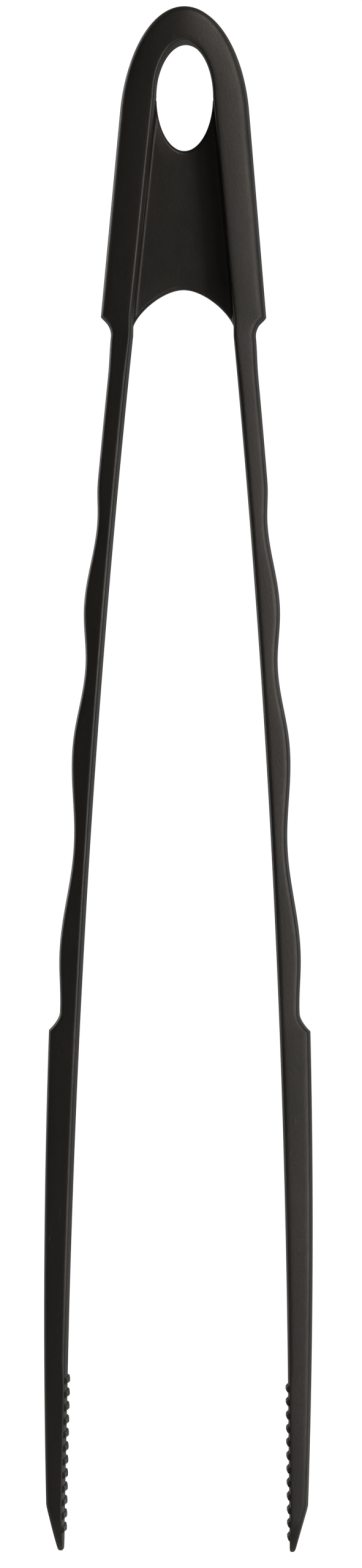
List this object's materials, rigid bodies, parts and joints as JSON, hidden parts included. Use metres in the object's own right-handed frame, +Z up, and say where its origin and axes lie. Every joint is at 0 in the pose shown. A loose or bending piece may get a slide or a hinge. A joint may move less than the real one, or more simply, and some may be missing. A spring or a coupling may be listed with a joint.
{
  "type": "kitchen tongs",
  "caption": "Springy one-piece moulded kitchen tongs with a hanging eye, a webbed head, scalloped finger grips and ridged chisel tips.",
  "frame": {"origin": "centre of the hanging eye, midway through the depth", "axes": "+Z up towards the crown of the head, +X across the two arms, +Y through the depth"},
  "size_m": [0.0522, 0.02, 0.3001],
  "materials": {
    "nylon": "satin black moulded nylon"
  },
  "bodies": {
    "head": {"head_arch": "nylon", "head_web": "nylon"},
    "left_arm": {"left_neck": "nylon", "left_grip": "nylon", "left_blade": "nylon", "left_teeth": "nylon"},
    "right_arm": {"right_neck": "nylon", "right_grip": "nylon", "right_blade": "nylon", "right_teeth": "nylon"}
  },
  "joints": [
    {"name": "left_arm_flex", "type": "hinge", "parent": "head", "child": "left_arm", "pos_m": [-0.01357, 0, -0.06478], "axis": [0, -1, 0], "range_deg": [0, 5.68], "stiffness_Nm_per_rad": 8, "deforming": ["left_neck"]},
    {"name": "right_arm_flex", "type": "hinge", "parent": "head", "child": "right_arm", "pos_m": [0.01357, 0, -0.06478], "axis": [0, 1, 0], "range_deg": [0, 5.65], "stiffness_Nm_per_rad": 8, "deforming": ["right_neck"]}
  ]
}
